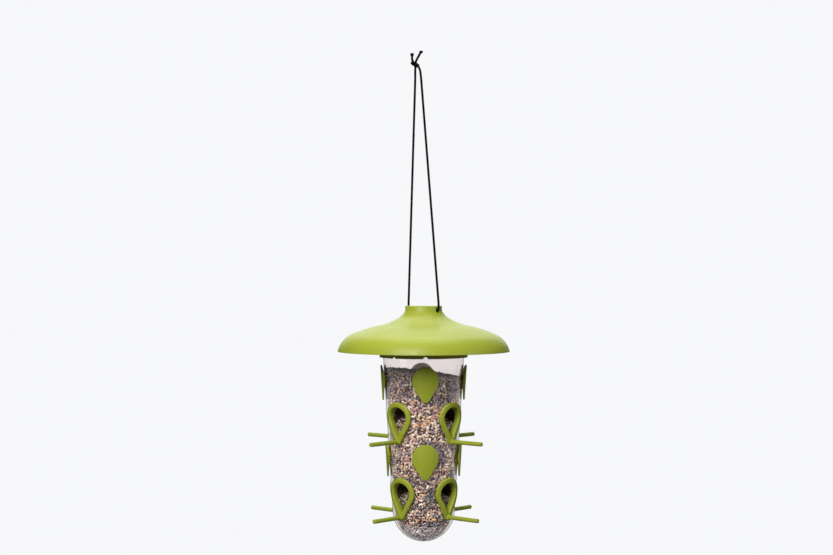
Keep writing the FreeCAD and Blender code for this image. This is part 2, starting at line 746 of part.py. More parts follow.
def make_cord(name, side, route):
    """One half of the cord: from the middle of the neck, out through its hole, up to the branch,
    over it, through the knot and along its tail."""
    radius = size("cord_diameter").number / 2.0
    crossing_z = (neck_top_z - size("cord_hole_drop")).number
    inside_reach = (size("neck_radius") - size("cord_fold_inset")).number
    outside_reach = (size("neck_radius") + size("cord_stand_off")).number
    outside_z = crossing_z + size("cord_fold_rise").number
    points = [
        FreeCAD.Vector(axis_x.number, 0, crossing_z),
        FreeCAD.Vector(axis_x.number + side * inside_reach, 0, crossing_z),
        FreeCAD.Vector(axis_x.number + side * outside_reach, 0, outside_z),
    ]
    points += [FreeCAD.Vector(*point) for point in route]
    path, radii = cord_path(points)
    section = Part.Wire([Part.Circle(points[0], points[1] - points[0], radius).toShape()])
    tube = path.makePipeShell([section], True, False)
    expected = math.pi * radius ** 2 * path.Length
    if abs(tube.Volume - expected) > 0.02 * expected:
        raise RuntimeError(f"{name}: volume {tube.Volume:.1f} is not section x length {expected:.1f}")
    piece = doc.addObject("Part::Feature", name)
    piece.Label = name
    piece.Shape = tube
    piece.Placement = FreeCAD.Placement()
    finished.append(piece)
    shown = ", ".join(f"{value:.1f}" for value in radii)
    print(f"{name}: {path.Length:.0f} mm long, bend radii {shown} mm")


def make_knots():
    """The knot on the branch and the two small knots that end the tails."""
    knot = simple("Ellipsoid", "branch_knot", Radius1=size("loop_knot_width") / 2.0,
                  Radius2=size("loop_knot_length") / 2.0, Radius3=size("loop_knot_width") / 2.0)
    lean = FreeCAD.Rotation(FreeCAD.Vector(0, 1, 0), 90 + LOOP_KNOT_PITCH)
    turn = FreeCAD.Rotation(FreeCAD.Vector(0, 0, 1), 90 - LOOP_KNOT_AZIMUTH)
    knot.Placement = FreeCAD.Placement(FreeCAD.Vector(*LOOP_KNOT_CENTRE), turn.multiply(lean))
    knot.Label = "branch_knot"
    finished.append(knot)
    for name, route in (("right", RIGHT_CORD_POINTS), ("left", LEFT_CORD_POINTS)):
        label = f"end_knot_{name}"
        ball = simple("Sphere", label, Radius=size("end_knot_radius"))
        ball.Placement = FreeCAD.Placement(FreeCAD.Vector(*route[-1]), FreeCAD.Rotation())
        ball.Label = label
        finished.append(ball)


make_roof()
make_skirt()
make_twist_ring()
make_tube()
rim_inner_form = tube_solid("RimInnerForm", size("rim_gap"))
rim_outer_form = tube_solid("RimOuterForm", size("rim_stand"))
leaf_inner_form = tube_solid("LeafInnerForm", size("leaf_stand"))
leaf_outer_form = tube_solid("LeafOuterForm", size("leaf_stand") + size("leaf_wall"))
for row_name in ("upper", "lower"):
    port_depth = port_depths[row_name]
    for side_name in TURNS:
        make_port(row_name, side_name, port_depth, rim_inner_form, rim_outer_form)
        make_perch(row_name, side_name, port_depth + size("perch_depth"))
    for side_name in HALF_TURNS:
        make_leaf(row_name, side_name, leaf_depths[row_name], leaf_inner_form, leaf_outer_form)
make_cord("cord_right", 1, RIGHT_CORD_POINTS)
make_cord("cord_left", -1, LEFT_CORD_POINTS)
make_knots()
doc.recompute()

for item in doc.Objects:
    if "Invalid" in item.State or "Error" in item.State:
        raise RuntimeError(f"{item.Label} failed: {item.State}")
for piece in finished:
    if piece.Shape.isNull() or not piece.Shape.isValid():
        raise RuntimeError(f"{piece.Label} has no valid shape")
    if len(piece.Shape.Solids) != 1:
        raise RuntimeError(f"{piece.Label} has {len(piece.Shape.Solids)} solids")

os.makedirs("parts", exist_ok=True)
for piece in finished:
    piece.Shape.exportStep(f"parts/{piece.Label}.step")
    print(f"{piece.Label}: {piece.Shape.Volume:.0f} mm3")
print(f"{len(finished)} sub-parts")
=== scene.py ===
import math

import bpy
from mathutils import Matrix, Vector


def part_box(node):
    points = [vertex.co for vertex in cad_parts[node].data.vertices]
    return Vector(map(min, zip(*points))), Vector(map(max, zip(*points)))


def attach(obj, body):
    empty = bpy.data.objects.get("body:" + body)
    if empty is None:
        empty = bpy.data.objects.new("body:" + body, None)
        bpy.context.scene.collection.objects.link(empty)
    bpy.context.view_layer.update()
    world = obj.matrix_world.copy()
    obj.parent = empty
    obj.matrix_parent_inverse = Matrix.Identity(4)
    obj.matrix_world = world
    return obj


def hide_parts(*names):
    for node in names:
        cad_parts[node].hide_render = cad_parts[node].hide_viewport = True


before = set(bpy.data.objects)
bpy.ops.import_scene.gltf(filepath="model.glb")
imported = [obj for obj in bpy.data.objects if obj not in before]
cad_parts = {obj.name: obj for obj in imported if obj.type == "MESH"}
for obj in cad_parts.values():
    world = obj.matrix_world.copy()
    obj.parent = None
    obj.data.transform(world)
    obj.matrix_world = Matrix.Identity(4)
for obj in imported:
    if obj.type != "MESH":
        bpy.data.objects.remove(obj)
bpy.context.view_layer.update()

mm = 0.001

# ---------------------------------------------------------------- studio
# The feeder hangs in front of a pale, evenly lit backdrop, over a pale floor. A large soft box
# stands above and in front, another right above, and a wide one behind gives the roof its sheen.
roof_low, roof_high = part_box("roof")
axis_x = (roof_low.x + roof_high.x) / 2
neck_top = roof_high.z
view_turn = math.radians(42.6)
toward_camera = Vector((math.sin(view_turn), -math.cos(view_turn), 0.0))
camera_right = Vector((math.cos(view_turn), math.sin(view_turn), 0.0))
camera_place = Vector((axis_x, 0.0, -0.1981)) + toward_camera * 1.7 - camera_right * 0.0071
bpy.ops.object.camera_add(location=camera_place, rotation=(math.radians(90), 0.0, view_turn))
camera = bpy.context.object
camera.data.sensor_width = 36.0
camera.data.lens = 73.47
camera.data.shift_y = -0.009
camera.data.clip_start = 0.05
camera.data.clip_end = 60.0
bpy.context.scene.camera = camera
bpy.context.scene.view_settings.view_transform = "Standard"


def soft_box(name, place, aim, size, power, colour):
    bpy.ops.object.light_add(type="AREA", location=place)
    box = bpy.context.object
    box.name = name
    box.data.shape = "SQUARE"
    box.data.size = size
    box.data.energy = power
    box.data.color = colour
    box.rotation_euler = (Vector(aim) - Vector(place)).to_track_quat("-Z", "Y").to_euler()
    return box


feeder_middle = Vector((axis_x, 0.0, -0.35))
soft_box("front_soft_box",
         feeder_middle + toward_camera * 1.3 - camera_right * 0.5 + Vector((0, 0, 0.92)),
         feeder_middle, 0.8, 23.5, (1.0, 0.99, 0.965))
soft_box("top_soft_box", feeder_middle + Vector((0, 0, 1.6)) - toward_camera * 0.35,
         feeder_middle, 1.2, 14.5, (1.0, 1.0, 1.0))
soft_box("side_soft_box",
         feeder_middle + toward_camera * 0.7 + camera_right * 1.5 + Vector((0, 0, 0.5)),
         feeder_middle, 0.8, 3.0, (0.97, 0.985, 1.0))
back_box = soft_box("back_soft_box", feeder_middle - toward_camera * 1.9 + Vector((0, 0, 1.25)),
                    feeder_middle, 2.4, 26.0, (0.98, 0.99, 1.0))
back_box.visible_camera = False
back_box.visible_transmission = False

world = bpy.data.worlds.new("studio")
bpy.context.scene.world = world
world.use_nodes = True
sky = world.node_tree
sky.nodes.clear()
sky_path = sky.nodes.new("ShaderNodeLightPath")
sky_seen = sky.nodes.new("ShaderNodeMath")
sky_seen.operation = "MAXIMUM"
sky.links.new(sky_path.outputs["Is Camera Ray"], sky_seen.inputs[0])
sky.links.new(sky_path.outputs["Is Transmission Ray"], sky_seen.inputs[1])
sky_mix = sky.nodes.new("ShaderNodeMix")
sky_mix.data_type = "RGBA"
sky_mix.inputs["A"].default_value = (0.10, 0.10, 0.103, 1.0)
sky_mix.inputs["B"].default_value = (0.93, 0.935, 0.95, 1.0)
sky.links.new(sky_seen.outputs[0], sky_mix.inputs["Factor"])
sky_light = sky.nodes.new("ShaderNodeBackground")
sky.links.new(sky_mix.outputs["Result"], sky_light.inputs["Color"])
sky_out = sky.nodes.new("ShaderNodeOutputWorld")
sky.links.new(sky_light.outputs[0], sky_out.inputs["Surface"])

bpy.ops.object.select_all(action="DESELECT")
bpy.ops.mesh.primitive_circle_add(vertices=96, radius=2.4, fill_type="NGON",
                                  location=(axis_x, 0.0, -1.35))
floor = bpy.context.object
floor.name = "floor"
floor_paint = bpy.data.materials.new("pale floor")
floor_paint.use_nodes = True
paint = floor_paint.node_tree
paint_shader = paint.nodes["Principled BSDF"]
paint_shader.inputs["Base Color"].default_value = (0.2, 0.203, 0.206, 1.0)
paint_shader.inputs["Roughness"].default_value = 0.9
paint_shader.inputs["Emission Color"].default_value = (0.93, 0.935, 0.95, 1.0)
paint_path = paint.nodes.new("ShaderNodeLightPath")
paint_glow = paint.nodes.new("ShaderNodeMath")
paint_glow.operation = "MULTIPLY"
paint_glow.inputs[1].default_value = 0.85
paint.links.new(paint_path.outputs["Is Camera Ray"], paint_glow.inputs[0])
paint.links.new(paint_glow.outputs[0], paint_shader.inputs["Emission Strength"])
paint_place = paint.nodes.new("ShaderNodeTexCoord")
paint_reach = paint.nodes.new("ShaderNodeVectorMath")
paint_reach.operation = "LENGTH"
paint.links.new(paint_place.outputs["Object"], paint_reach.inputs[0])
paint_fade = paint.nodes.new("ShaderNodeMapRange")
paint_fade.interpolation_type = "SMOOTHSTEP"
paint_fade.inputs["From Min"].default_value = 0.9
paint_fade.inputs["From Max"].default_value = 2.3
paint.links.new(paint_reach.outputs["Value"], paint_fade.inputs["Value"])
paint_clear = paint.nodes.new("ShaderNodeBsdfTransparent")
paint_mix = paint.nodes.new("ShaderNodeMixShader")
paint.links.new(paint_fade.outputs["Result"], paint_mix.inputs["Fac"])
paint.links.new(paint_shader.outputs[0], paint_mix.inputs[1])
paint.links.new(paint_clear.outputs[0], paint_mix.inputs[2])
paint.links.new(paint_mix.outputs[0], paint.nodes["Material Output"].inputs["Surface"])
floor.data.materials.append(floor_paint)

# ---------------------------------------------------------------- cord
# A black braided cord, 2.3 mm thick, runs through two holes in the neck and up round the branch.
# It is laid as two halves that meet inside the neck; each ends in a short tail above the knot.
cord_thick = 2.3
hole_height = -238.8
right_half = [(7.2, 0.0, -238.8), (25.0, 0.0, -238.8), (27.9, 0.0, -237.0), (26.6, -0.1, -223.3),
              (6.2, -1.8, -13.1), (5.4, -1.9, -4.5), (4.4, -2.6, 4.0), (0.2, -4.2, 8.3),
              (-2.6, -6.8, 9.6), (-2.4, -6.5, 17.9)]
left_half = [(7.2, 0.0, -238.8), (-10.6, 0.0, -238.8), (-13.5, 0.0, -237.0),
             (-13.0, 0.1, -223.2), (-5.7, 1.4, -12.7), (-5.4, 1.4, -4.5), (-4.8, 0.6, 3.6),
             (-2.2, -1.6, 8.2), (-0.6, -3.4, 11.0), (2.1, 1.9, 20.8)]


def laid_line(name, points, thick, closed=False):
    line = bpy.data.curves.new(name, "CURVE")
    line.dimensions = "3D"
    spline = line.splines.new("NURBS")
    spline.points.add(len(points) - 1)
    for knot, place in zip(spline.points, points):
        knot.co = (place[0] * mm, place[1] * mm, place[2] * mm, 1.0)
    spline.order_u = 3
    spline.use_endpoint_u = not closed
    spline.use_cyclic_u = closed
    spline.resolution_u = 12
    line.bevel_depth = thick * mm / 2
    line.bevel_resolution = 4
    line.use_fill_caps = True
    laid = bpy.data.objects.new(name, line)
    bpy.context.scene.collection.objects.link(laid)
    return laid


braid = bpy.data.materials.new("black braided cord")
braid.use_nodes = True
braid_tree = braid.node_tree
braid_shader = braid_tree.nodes["Principled BSDF"]
braid_shader.inputs["Specular IOR Level"].default_value = 0.12
braid_place = braid_tree.nodes.new("ShaderNodeTexCoord")
braid_waves = []
for name, lean in (("braid to the left", 0.8), ("braid to the right", -0.8)):
    braid_turn = braid_tree.nodes.new("ShaderNodeMapping")
    braid_turn.name = name
    braid_turn.inputs["Rotation"].default_value = (0.0, lean, 0.0)
    braid_tree.links.new(braid_place.outputs["Object"], braid_turn.inputs["Vector"])
    braid_wave = braid_tree.nodes.new("ShaderNodeTexWave")
    braid_wave.inputs["Scale"].default_value = 230.0
    braid_wave.inputs["Distortion"].default_value = 0.6
    braid_tree.links.new(braid_turn.outputs[0], braid_wave.inputs["Vector"])
    braid_waves.append(braid_wave)
braid_over = braid_tree.nodes.new("ShaderNodeMath")
braid_over.operation = "MAXIMUM"
braid_tree.links.new(braid_waves[0].outputs["Fac"], braid_over.inputs[0])
braid_tree.links.new(braid_waves[1].outputs["Fac"], braid_over.inputs[1])
braid_dye = braid_tree.nodes.new("ShaderNodeValToRGB")
braid_dye.color_ramp.elements[0].color = (0.0012, 0.0012, 0.0015, 1.0)
braid_dye.color_ramp.elements[1].color = (0.005, 0.005, 0.006, 1.0)
braid_tree.links.new(braid_over.outputs[0], braid_dye.inputs["Fac"])
braid_tree.links.new(braid_dye.outputs["Color"], braid_shader.inputs["Base Color"])
braid_rough = braid_tree.nodes.new("ShaderNodeMapRange")
braid_rough.inputs["To Min"].default_value = 1.0
braid_rough.inputs["To Max"].default_value = 0.8
braid_tree.links.new(braid_over.outputs[0], braid_rough.inputs["Value"])
braid_tree.links.new(braid_rough.outputs[0], braid_shader.inputs["Roughness"])
braid_bump = braid_tree.nodes.new("ShaderNodeBump")
braid_bump.inputs["Strength"].default_value = 0.35
braid_bump.inputs["Distance"].default_value = 0.0003
braid_tree.links.new(braid_over.outputs[0], braid_bump.inputs["Height"])
braid_tree.links.new(braid_bump.outputs[0], braid_shader.inputs["Normal"])

cord_right = laid_line("cord_right_half", right_half, cord_thick)
cord_left = laid_line("cord_left_half", left_half, cord_thick)
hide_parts("cord_right")
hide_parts("cord_left")

# ---------------------------------------------------------------- knots
# The cord's two ends are tied over the branch in one tight knot of several turns, and each tail
# ends in a small overhand knot of its own.
knot_middle = Vector((-0.9, -4.0, 8.0))
knot_along = Vector((-0.287, -0.835, 0.469))
knot_across = knot_along.cross(Vector((0, 0, 1))).normalized()
knot_up = knot_across.cross(knot_along)
knot_turns = []
for step in range(31):
    turn = step / 8 * math.tau
    reach = 1.55 + 0.12 * math.sin(2.6 * turn)
    place = (knot_middle + knot_along * (step / 30 - 0.5) * 8.2
             + knot_across * math.cos(turn) * reach + knot_up * math.sin(turn) * reach)
    knot_turns.append(tuple(place))
branch_knot = laid_line("branch_knot_turns", knot_turns, 2.1)
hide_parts("branch_knot")

tail_knots = {}
for side, tail in (("right", right_half), ("left", left_half)):
    loops = []
    for step in range(18):
        turn = step / 18 * math.tau
        reach = 2.0 + math.cos(3 * turn)
        loops.append((tail[-1][0] + 0.47 * reach * math.cos(2 * turn),
                      tail[-1][1] + 0.47 * reach * math.sin(2 * turn),
                      tail[-1][2] - 0.3 + 0.75 * math.sin(3 * turn)))
    tail_knots[side] = laid_line(f"end_knot_turns_{side}", loops, 1.55, closed=True)
    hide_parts(f"end_knot_{side}")
for piece in (cord_right, cord_left, branch_knot, *tail_knots.values()):
    piece.data.materials.append(braid)
    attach(piece, "cord")

# ---------------------------------------------------------------- roof
# One wide moulded hood of lime green plastic with a closed neck, turned from its outline. The two
# holes through the neck take the cord; a seat under the hood carries the bayonet's skirt.
neck_z = neck_top / mm
roof_wall = 2.0


def arc(start, end, radius, side, count):
    """Points after start up to end, round a centre on the left (1) or the right (-1) of the run."""
    run = Vector(end) - Vector(start)
    reach = math.sqrt(radius ** 2 - run.length_squared / 4)
    centre = Vector(start) + run / 2 + Vector((-run.y, run.x)).normalized() * side * reach
    begin = math.atan2(start[1] - centre.y, start[0] - centre.x)
    finish = math.atan2(end[1] - centre.y, end[0] - centre.x)
    sweep = (finish - begin + math.pi) % math.tau - math.pi
    return [(centre.x + radius * math.cos(begin + sweep * step / count),
             centre.y + radius * math.sin(begin + sweep * step / count))
            for step in range(1, count + 1)]


def choose(piece):
    bpy.ops.object.select_all(action="DESELECT")
    piece.select_set(True)
    bpy.context.view_layer.objects.active = piece


def settle(piece, place=(0.0, 0.0, 0.0), turn=0.0, lean=0.0):
    """Leans a piece about X, turns it about Z, moves it in mm and works all that into its mesh."""
    choose(piece)
    bpy.ops.object.transform_apply(location=True, rotation=True, scale=True)
    piece.rotation_euler = (lean, 0.0, turn)
    piece.location = Vector(place) * mm
    bpy.ops.object.transform_apply(location=True, rotation=True, scale=True)


def turned(name, outline, steps, lift=0.0):
    """An outline of (reach, height) points in mm, spun about the feeder's upright axis."""
    bpy.ops.object.select_all(action="DESELECT")
    bpy.ops.mesh.primitive_plane_add(size=mm)
    piece = bpy.context.object
    piece.name = name
    bpy.ops.object.mode_set(mode="EDIT")
    bpy.ops.mesh.select_mode(type="VERT")
    bpy.ops.mesh.select_all(action="SELECT")
    bpy.ops.mesh.merge(type="CENTER")
    bpy.ops.transform.translate(value=(outline[0][0] * mm, 0.0, outline[0][1] * mm))
    for here, there in zip(outline, outline[1:]):
        step = ((there[0] - here[0]) * mm, 0.0, (there[1] - here[1]) * mm)
        bpy.ops.mesh.extrude_region_move(TRANSFORM_OT_translate={"value": step})
    bpy.ops.mesh.select_all(action="SELECT")
    bpy.ops.mesh.spin(steps=steps, angle=math.tau, center=(0, 0, 0), axis=(0, 0, 1))
    bpy.ops.mesh.select_all(action="SELECT")
    bpy.ops.mesh.remove_doubles(threshold=0.01 * mm)
    bpy.ops.mesh.normals_make_consistent(inside=False)
    bpy.ops.object.mode_set(mode="OBJECT")
    settle(piece, (axis_x / mm, 0.0, lift))
    return piece


def combine(piece, other, operation="DIFFERENCE"):
    choose(piece)
    bpy.ops.object.modifier_add(type="BOOLEAN")
    piece.modifiers[-1].operation = operation
    piece.modifiers[-1].solver = "EXACT"
    piece.modifiers[-1].object = other
    bpy.ops.object.modifier_apply(modifier=piece.modifiers[-1].name)
    bpy.data.objects.remove(other)


def round_edges(piece, width, segments=3, sharper_than=35):
    choose(piece)
    bpy.ops.object.modifier_add(type="BEVEL")
    piece.modifiers[-1].width = width * mm
    piece.modifiers[-1].segments = segments
    piece.modifiers[-1].limit_method = "ANGLE"
    piece.modifiers[-1].angle_limit = math.radians(sharper_than)
    bpy.ops.object.modifier_apply(modifier=piece.modifiers[-1].name)
    bpy.ops.object.shade_smooth_by_angle(angle=math.radians(30))


def join(piece, *others):
    choose(piece)
    for other in others:
        other.select_set(True)
    bpy.ops.object.join()


def finish_piece(piece, body, material, node=None):
    piece.data.materials.clear()
    piece.data.materials.append(material)
    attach(piece, body)
    if node:
        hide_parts(node)


outside = [(0.0, 0.0), (18.4, 0.0), (18.4, -4.4),
           *arc((18.4, -4.4), (25.5, -12.3), 17.7, 1, 10),
           *arc((25.5, -12.3), (47.3, -20.2), 67.5, 1, 12),
           *arc((47.3, -20.2), (71.7, -28.1), 142.0, -1, 14),
           *arc((71.7, -28.1), (86.0, -45.4), 24.6, -1, 18)]
inside = [(84.0, -45.4),
          *arc((84.0, -45.4), (70.92, -29.94), 22.6, 1, 14),
          *arc((70.92, -29.94), (46.88, -22.16), 140.0, 1, 8),
          *arc((46.88, -22.16), (24.47, -14.01), 69.5, -1, 8),
          *arc((24.47, -14.01), (16.4, -5.2), 19.7, -1, 8),
          (16.4, -roof_wall), (0.0, -roof_wall)]
roof = turned("moulded_roof", outside + inside, 128, neck_z)
bpy.ops.object.select_all(action="DESELECT")
bpy.ops.mesh.primitive_cylinder_add(vertices=40, radius=2.15 * mm, depth=60 * mm,
                                    location=(axis_x, 0.0, hole_height * mm),
                                    rotation=(0.0, math.radians(90), 0.0))
combine(roof, bpy.context.object)
round_edges(roof, 0.5)
seat = turned("roof_seat", [(44.4, -20.8), (47.6, -20.8), (47.6, -30.1), (44.4, -30.1),
                            (44.4, -20.8)], 96, neck_z)
bpy.ops.object.shade_smooth_by_angle(angle=math.radians(30))
join(roof, seat)


def moulded_finish():
    """Colour, roughness and normal of satin moulded plastic, from its own two tints."""
    group = bpy.data.node_groups.new("moulded finish", "ShaderNodeTree")
    group.interface.new_socket("Main tint", in_out="INPUT", socket_type="NodeSocketColor")
    group.interface.new_socket("Flow tint", in_out="INPUT", socket_type="NodeSocketColor")
    group.interface.new_socket("Colour", in_out="OUTPUT", socket_type="NodeSocketColor")
    group.interface.new_socket("Roughness", in_out="OUTPUT", socket_type="NodeSocketFloat")
    group.interface.new_socket("Normal", in_out="OUTPUT", socket_type="NodeSocketVector")
    entry = group.nodes.new("NodeGroupInput")
    leave = group.nodes.new("NodeGroupOutput")
    place = group.nodes.new("ShaderNodeTexCoord")
    flow = group.nodes.new("ShaderNodeTexNoise")
    flow.name = "flow of the melt"
    flow.inputs["Scale"].default_value = 26.0
    flow.inputs["Detail"].default_value = 3.0
    flow.inputs["Distortion"].default_value = 0.8
    group.links.new(place.outputs["Object"], flow.inputs["Vector"])
    tint = group.nodes.new("ShaderNodeMix")
    tint.data_type = "RGBA"
    group.links.new(flow.outputs["Fac"], tint.inputs["Factor"])
    group.links.new(entry.outputs["Main tint"], tint.inputs["A"])
    group.links.new(entry.outputs["Flow tint"], tint.inputs["B"])
    group.links.new(tint.outputs["Result"], leave.inputs["Colour"])
    scuff = group.nodes.new("ShaderNodeTexNoise")
    scuff.name = "scuffs"
    scuff.inputs["Scale"].default_value = 140.0
    scuff.inputs["Detail"].default_value = 5.0
    group.links.new(place.outputs["Object"], scuff.inputs["Vector"])
    gloss = group.nodes.new("ShaderNodeMapRange")
    gloss.inputs["From Min"].default_value = 0.3
    gloss.inputs["From Max"].default_value = 0.7
    gloss.inputs["To Min"].default_value = 0.36
    gloss.inputs["To Max"].default_value = 0.5
    group.links.new(scuff.outputs["Fac"], gloss.inputs["Value"])
    group.links.new(gloss.outputs["Result"], leave.inputs["Roughness"])
    grain = group.nodes.new("ShaderNodeTexNoise")
    grain.name = "mould grain"
    grain.inputs["Scale"].default_value = 900.0
    grain.inputs["Detail"].default_value = 2.0
    group.links.new(place.outputs["Object"], grain.inputs["Vector"])
    bump = group.nodes.new("ShaderNodeBump")
    bump.inputs["Strength"].default_value = 0.12
    bump.inputs["Distance"].default_value = 0.0003
    group.links.new(grain.outputs["Fac"], bump.inputs["Height"])
    group.links.new(bump.outputs["Normal"], leave.inputs["Normal"])
    return group


moulded = moulded_finish()


def plastic(name, main_tint, flow_tint):
    made = bpy.data.materials.new(name)
    made.use_nodes = True
    tree = made.node_tree
    shader = tree.nodes["Principled BSDF"]
    shader.inputs["Specular IOR Level"].default_value = 0.45
    look = tree.nodes.new("ShaderNodeGroup")
    look.node_tree = moulded
    look.inputs["Main tint"].default_value = (*main_tint, 1.0)
    look.inputs["Flow tint"].default_value = (*flow_tint, 1.0)
    tree.links.new(look.outputs["Colour"], shader.inputs["Base Color"])
    tree.links.new(look.outputs["Roughness"], shader.inputs["Roughness"])
    tree.links.new(look.outputs["Normal"], shader.inputs["Normal"])
    return made


lime = plastic("lime green plastic", (0.35, 0.42, 0.026), (0.405, 0.46, 0.038))
finish_piece(roof, "roof", lime, "roof")

# ---------------------------------------------------------------- skirt and ring
# The bayonet's skirt is welded under the roof, out of sight. The tube's ring twists into it and
# shows as a dark band below the brim, with eight finger notches in its lower edge.
for node in ("roof_skirt", "twist_ring"):
    part = bpy.data.objects[node]
    part.data.materials.clear()
    part.data.materials.append(lime)

# ---------------------------------------------------------------- tube
# A clear moulded tube, a little narrower downwards, with a round bottom. Light passes through it
# to the seed, so its shadow rays go straight on.
mouth_z = -273.1
mouth_radius = 41.3
taper = math.radians(3.55)
tube_wall = 1.7
dome_z = -438.1
dome_radius = 31.0


def tube_radius(z):
    """The tube's outside radius at a height, in mm."""
    if z > dome_z:
        return mouth_radius - (mouth_z - z) * math.tan(taper)
    return math.sqrt(dome_radius ** 2 - (dome_z - z) ** 2)


clear = bpy.data.materials.new("clear plastic")
clear.use_nodes = True
clear_tree = clear.node_tree
clear_shader = clear_tree.nodes["Principled BSDF"]
clear_shader.inputs["Base Color"].default_value = (0.925, 0.88, 0.87, 1.0)
clear_shader.inputs["Transmission Weight"].default_value = 1.0
clear_shader.inputs["IOR"].default_value = 1.49
clear_place = clear_tree.nodes.new("ShaderNodeTexCoord")
clear_haze = clear_tree.nodes.new("ShaderNodeTexNoise")
clear_haze.inputs["Scale"].default_value = 45.0
clear_haze.inputs["Detail"].default_value = 4.0
clear_tree.links.new(clear_place.outputs["Object"], clear_haze.inputs["Vector"])
clear_rough = clear_tree.nodes.new("ShaderNodeMapRange")
clear_rough.inputs["From Min"].default_value = 0.35
clear_rough.inputs["From Max"].default_value = 0.75
clear_rough.inputs["To Min"].default_value = 0.02
clear_rough.inputs["To Max"].default_value = 0.09
clear_tree.links.new(clear_haze.outputs["Fac"], clear_rough.inputs["Value"])
clear_tree.links.new(clear_rough.outputs["Result"], clear_shader.inputs["Roughness"])
clear_ripple = clear_tree.nodes.new("ShaderNodeBump")
clear_ripple.inputs["Strength"].default_value = 0.05
clear_ripple.inputs["Distance"].default_value = 0.001
clear_tree.links.new(clear_haze.outputs["Fac"], clear_ripple.inputs["Height"])
clear_tree.links.new(clear_ripple.outputs["Normal"], clear_shader.inputs["Normal"])
clear_path = clear_tree.nodes.new("ShaderNodeLightPath")
clear_pass = clear_tree.nodes.new("ShaderNodeBsdfTransparent")
clear_pass.inputs["Color"].default_value = (0.93, 0.925, 0.93, 1.0)
clear_mix = clear_tree.nodes.new("ShaderNodeMixShader")
clear_tree.links.new(clear_path.outputs["Is Shadow Ray"], clear_mix.inputs["Fac"])
clear_tree.links.new(clear_shader.outputs[0], clear_mix.inputs[1])
clear_tree.links.new(clear_pass.outputs[0], clear_mix.inputs[2])
clear_tree.links.new(clear_mix.outputs[0],
                     clear_tree.nodes["Material Output"].inputs["Surface"])
tube = bpy.data.objects["tube"]
tube.data.materials.clear()
tube.data.materials.append(clear)

# ---------------------------------------------------------------- seed ports
# Each port is a teardrop rim bent round the tube, a short open sleeve through the wall, and a
# boss at the rim's tip for the perch.
port_heights = {"upper": -343.3, "lower": -418.1}
port_turns = {"front": 0, "right": 90, "back": 180, "left": 270}
perch_drop = 24.0


def teardrop(name, crown, tip, drop, back, front):
    """A prism along Y with a round crown at the origin and a smaller round tip below it."""
    bpy.ops.object.select_all(action="DESELECT")
    middle = (back + front) / 2 * mm
    bpy.ops.mesh.primitive_cylinder_add(vertices=80, radius=crown * mm, depth=(back - front) * mm,
                                        location=(0.0, middle, 0.0),
                                        rotation=(math.radians(90), 0.0, 0.0))
    piece = bpy.context.object
    piece.name = name
    bpy.ops.object.mode_set(mode="EDIT")
    bpy.ops.mesh.primitive_cylinder_add(vertices=40, radius=tip * mm, depth=(back - front) * mm,
                                        location=(0.0, middle, -drop * mm),
                                        rotation=(math.radians(90), 0.0, 0.0))
    bpy.ops.mesh.select_all(action="SELECT")
    bpy.ops.mesh.convex_hull()
    bpy.ops.mesh.select_all(action="SELECT")
    bpy.ops.mesh.dissolve_limited(angle_limit=math.radians(0.5))
    bpy.ops.object.mode_set(mode="OBJECT")
    settle(piece)
    return piece


def wrap(piece, half_width, radius, narrow=1.0):
    """Bends a piece round the tube: what was flat at y 0 now lies on that radius, at the front."""
    half_width *= narrow
    choose(piece)
    piece.scale.x = narrow
    bpy.ops.object.transform_apply(location=True, rotation=True, scale=True)
    bpy.ops.object.mode_set(mode="EDIT")
    for strip in range(-9, 10):
        bpy.ops.mesh.select_all(action="SELECT")
        bpy.ops.mesh.bisect(plane_co=(strip / 10 * half_width * mm, 0.0, 0.0),
                            plane_no=(1.0, 0.0, 0.0))
    bpy.ops.object.mode_set(mode="OBJECT")
    bpy.ops.object.modifier_add(type="SIMPLE_DEFORM")
    piece.modifiers[-1].deform_method = "BEND"
    piece.modifiers[-1].deform_axis = "Z"
    piece.modifiers[-1].angle = 2 * half_width / radius
    bpy.ops.object.modifier_apply(modifier=piece.modifiers[-1].name)
    settle(piece, lean=taper)
    settle(piece, (0.0, -radius, 0.0))


for row, height in port_heights.items():
    radius = tube_radius(height)
    rim = teardrop(f"port_rim_{row}", 15.0, 3.0, perch_drop, 0.6, -3.0)
    combine(rim, teardrop("way_through_rim", 10.2, 1.2, 18.0, 2.0, -5.0))
    round_edges(rim, 1.0, 3)
    wrap(rim, 15.0, radius)
    sleeve = teardrop("sleeve", 11.8, 2.8, 18.0, 4.6, -0.3)
    combine(sleeve, teardrop("way_through_sleeve", 10.2, 1.2, 18.0, 6.0, -2.0))
    round_edges(sleeve, 0.3, 2)
    settle(sleeve, (0.0, -radius, 0.0))
    boss_radius = tube_radius(height - perch_drop)
    bpy.ops.object.select_all(action="DESELECT")
    bpy.ops.mesh.primitive_cylinder_add(vertices=48, radius=3.0 * mm, depth=5.4 * mm,
                                        location=(0.0, -(boss_radius + 1.7) * mm,
                                                  -perch_drop * mm),
                                        rotation=(math.radians(90), 0.0, 0.0))
    boss = bpy.context.object
    round_edges(boss, 0.7, 3)
    join(rim, sleeve, boss)
    for side, degrees in port_turns.items():
        choose(rim)
        bpy.ops.object.duplicate()
        port = bpy.context.object
        port.name = f"seed_port_{row}_{side}"
        settle(port, (axis_x / mm, 0.0, height), turn=math.radians(degrees))
        finish_piece(port, "tube", lime, f"port_{row}_{side}")
    bpy.data.objects.remove(rim)

